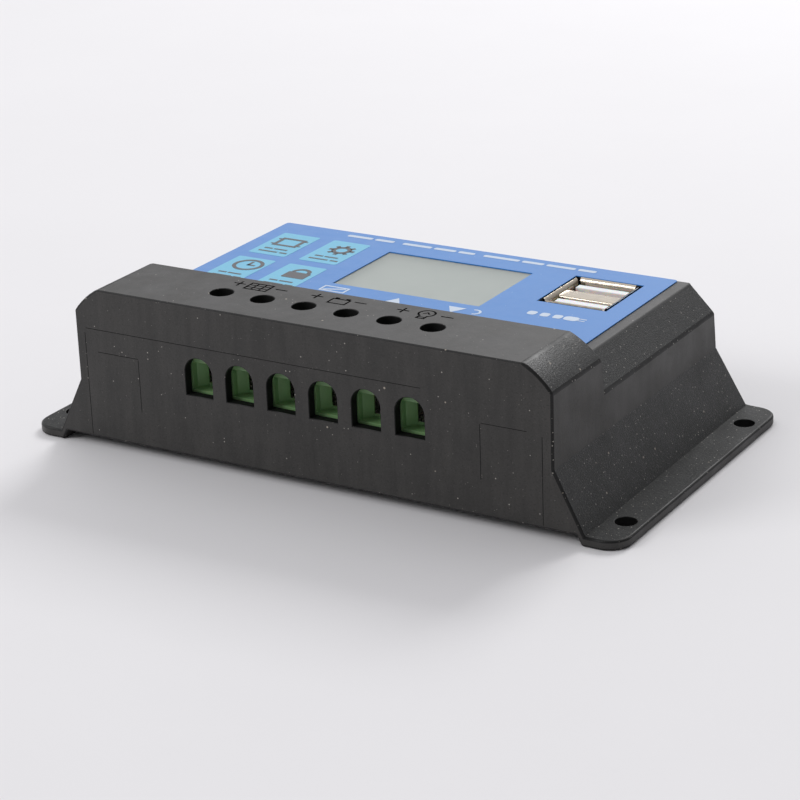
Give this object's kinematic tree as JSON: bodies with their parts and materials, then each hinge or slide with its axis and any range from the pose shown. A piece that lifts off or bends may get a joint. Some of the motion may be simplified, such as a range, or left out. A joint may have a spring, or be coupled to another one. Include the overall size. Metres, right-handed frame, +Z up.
{
  "type": "solar charge controller",
  "caption": "Box with mounting flanges at both ends, a raised ridge over screw terminals, a display, press keys and upright USB sockets on its top panel.",
  "frame": {"origin": "middle of the footprint, on the surface that the mounting flanges stand on", "axes": "+X along the row of terminals, +Y from the terminal face to the back, +Z up out of the panel"},
  "size_m": [0.1334, 0.073, 0.0336],
  "materials": {
    "case_plastic": "fine spark-eroded grain on the ridge and chamfers, satin on the walls",
    "case_screw_steel": "zinc plated",
    "label_film": "satin printed film",
    "lens_clear": "clear",
    "display_face": "grey-green polariser, semi-matt",
    "white_plastic": "moulded white",
    "pin_metal": "gold flash over brass",
    "key_plastic": "satin black",
    "switch_plastic": "moulded black",
    "board_green": "solder mask",
    "terminal_green": "moulded green polyamide",
    "terminal_steel": "zinc plated",
    "tinned_copper": "tin plated copper",
    "usb_nickel": "nickel plated sheet",
    "chip_epoxy": "moulded epoxy",
    "spreader_aluminium": "mill finish",
    "capacitor_sleeve": "shrunk sleeve",
    "ferrite": "sintered",
    "winding_copper": "enamelled copper wire"
  },
  "bodies": {
    "case": {"top_shell": "case_plastic", "base_plate": "case_plastic", "case_screws": "case_screw_steel", "label_overlay": "label_film", "display_window": "lens_clear", "display_glass": "display_face", "display_backlight": "white_plastic", "display_holder": "white_plastic", "display_pins": "pin_metal", "menu_switch": "switch_plastic", "up_switch": "switch_plastic", "down_switch": "switch_plastic", "circuit_board": "board_green", "board_screws": "case_screw_steel", "terminal_housing": "terminal_green", "terminal_contact_1": "tinned_copper", "terminal_contact_2": "tinned_copper", "terminal_contact_3": "tinned_copper", "terminal_contact_4": "tinned_copper", "terminal_contact_5": "tinned_copper", "terminal_contact_6": "tinned_copper", "usb_shell": "usb_nickel", "usb_insulator": "white_plastic", "usb_contacts": "pin_metal", "mosfet_1": "chip_epoxy", "mosfet_2": "chip_epoxy", "mosfet_3": "chip_epoxy", "mosfet_4": "chip_epoxy", "heat_spreader": "spreader_aluminium", "capacitor_1": "capacitor_sleeve", "capacitor_2": "capacitor_sleeve", "inductor_core": "ferrite", "inductor_winding": "winding_copper", "microcontroller": "chip_epoxy", "regulator": "chip_epoxy", "power_diode": "chip_epoxy", "shunt_resistor": "chip_epoxy"},
    "menu_button": {"menu_key": "key_plastic", "menu_plunger": "switch_plastic"},
    "up_button": {"up_key": "key_plastic", "up_plunger": "switch_plastic"},
    "down_button": {"down_key": "key_plastic", "down_plunger": "switch_plastic"},
    "screw_1": {"terminal_screw_1": "terminal_steel"},
    "clamp_1": {"terminal_clamp_1": "terminal_steel"},
    "screw_2": {"terminal_screw_2": "terminal_steel"},
    "clamp_2": {"terminal_clamp_2": "terminal_steel"},
    "screw_3": {"terminal_screw_3": "terminal_steel"},
    "clamp_3": {"terminal_clamp_3": "terminal_steel"},
    "screw_4": {"terminal_screw_4": "terminal_steel"},
    "clamp_4": {"terminal_clamp_4": "terminal_steel"},
    "screw_5": {"terminal_screw_5": "terminal_steel"},
    "clamp_5": {"terminal_clamp_5": "terminal_steel"},
    "screw_6": {"terminal_screw_6": "terminal_steel"},
    "clamp_6": {"terminal_clamp_6": "terminal_steel"}
  },
  "joints": [
    {"name": "menu_press", "type": "slide", "parent": "case", "child": "menu_button", "axis": [0, 0, -1], "range_m": [0, 0.0005], "stiffness_N_per_m": 900, "springref_m": -0.0004},
    {"name": "up_press", "type": "slide", "parent": "case", "child": "up_button", "axis": [0, 0, -1], "range_m": [0, 0.0005], "stiffness_N_per_m": 900, "springref_m": -0.0004},
    {"name": "down_press", "type": "slide", "parent": "case", "child": "down_button", "axis": [0, 0, -1], "range_m": [0, 0.0005], "stiffness_N_per_m": 900, "springref_m": -0.0004},
    {"name": "screw_1_turn", "type": "hinge", "parent": "case", "child": "screw_1", "pos_m": [-0.02405, -0.02705, 0.0276], "axis": [0, 0, -1], "range_deg": [0, 1802]},
    {"name": "clamp_1_rise", "type": "slide", "parent": "case", "child": "clamp_1", "axis": [0, 0, 1], "range_m": [0, 0.0035]},
    {"name": "screw_2_turn", "type": "hinge", "parent": "case", "child": "screw_2", "pos_m": [-0.01455, -0.02705, 0.0276], "axis": [0, 0, -1], "range_deg": [0, 1802]},
    {"name": "clamp_2_rise", "type": "slide", "parent": "case", "child": "clamp_2", "axis": [0, 0, 1], "range_m": [0, 0.0035]},
    {"name": "screw_3_turn", "type": "hinge", "parent": "case", "child": "screw_3", "pos_m": [-0.00505, -0.02705, 0.0276], "axis": [0, 0, -1], "range_deg": [0, 1802]},
    {"name": "clamp_3_rise", "type": "slide", "parent": "case", "child": "clamp_3", "axis": [0, 0, 1], "range_m": [0, 0.0035]},
    {"name": "screw_4_turn", "type": "hinge", "parent": "case", "child": "screw_4", "pos_m": [0.00445, -0.02705, 0.0276], "axis": [0, 0, -1], "range_deg": [0, 1802]},
    {"name": "clamp_4_rise", "type": "slide", "parent": "case", "child": "clamp_4", "axis": [0, 0, 1], "range_m": [0, 0.0035]},
    {"name": "screw_5_turn", "type": "hinge", "parent": "case", "child": "screw_5", "pos_m": [0.01395, -0.02705, 0.0276], "axis": [0, 0, -1], "range_deg": [0, 1802]},
    {"name": "clamp_5_rise", "type": "slide", "parent": "case", "child": "clamp_5", "axis": [0, 0, 1], "range_m": [0, 0.0035]},
    {"name": "screw_6_turn", "type": "hinge", "parent": "case", "child": "screw_6", "pos_m": [0.02345, -0.02705, 0.0276], "axis": [0, 0, -1], "range_deg": [0, 1802]},
    {"name": "clamp_6_rise", "type": "slide", "parent": "case", "child": "clamp_6", "axis": [0, 0, 1], "range_m": [0, 0.0035]}
  ],
  "couplings": [
    {"joint": "screw_1_turn", "follows": "clamp_1_rise", "rad_per_m": 8976},
    {"joint": "screw_2_turn", "follows": "clamp_2_rise", "rad_per_m": 8976},
    {"joint": "screw_3_turn", "follows": "clamp_3_rise", "rad_per_m": 8976},
    {"joint": "screw_4_turn", "follows": "clamp_4_rise", "rad_per_m": 8976},
    {"joint": "screw_5_turn", "follows": "clamp_5_rise", "rad_per_m": 8976},
    {"joint": "screw_6_turn", "follows": "clamp_6_rise", "rad_per_m": 8976}
  ]
}
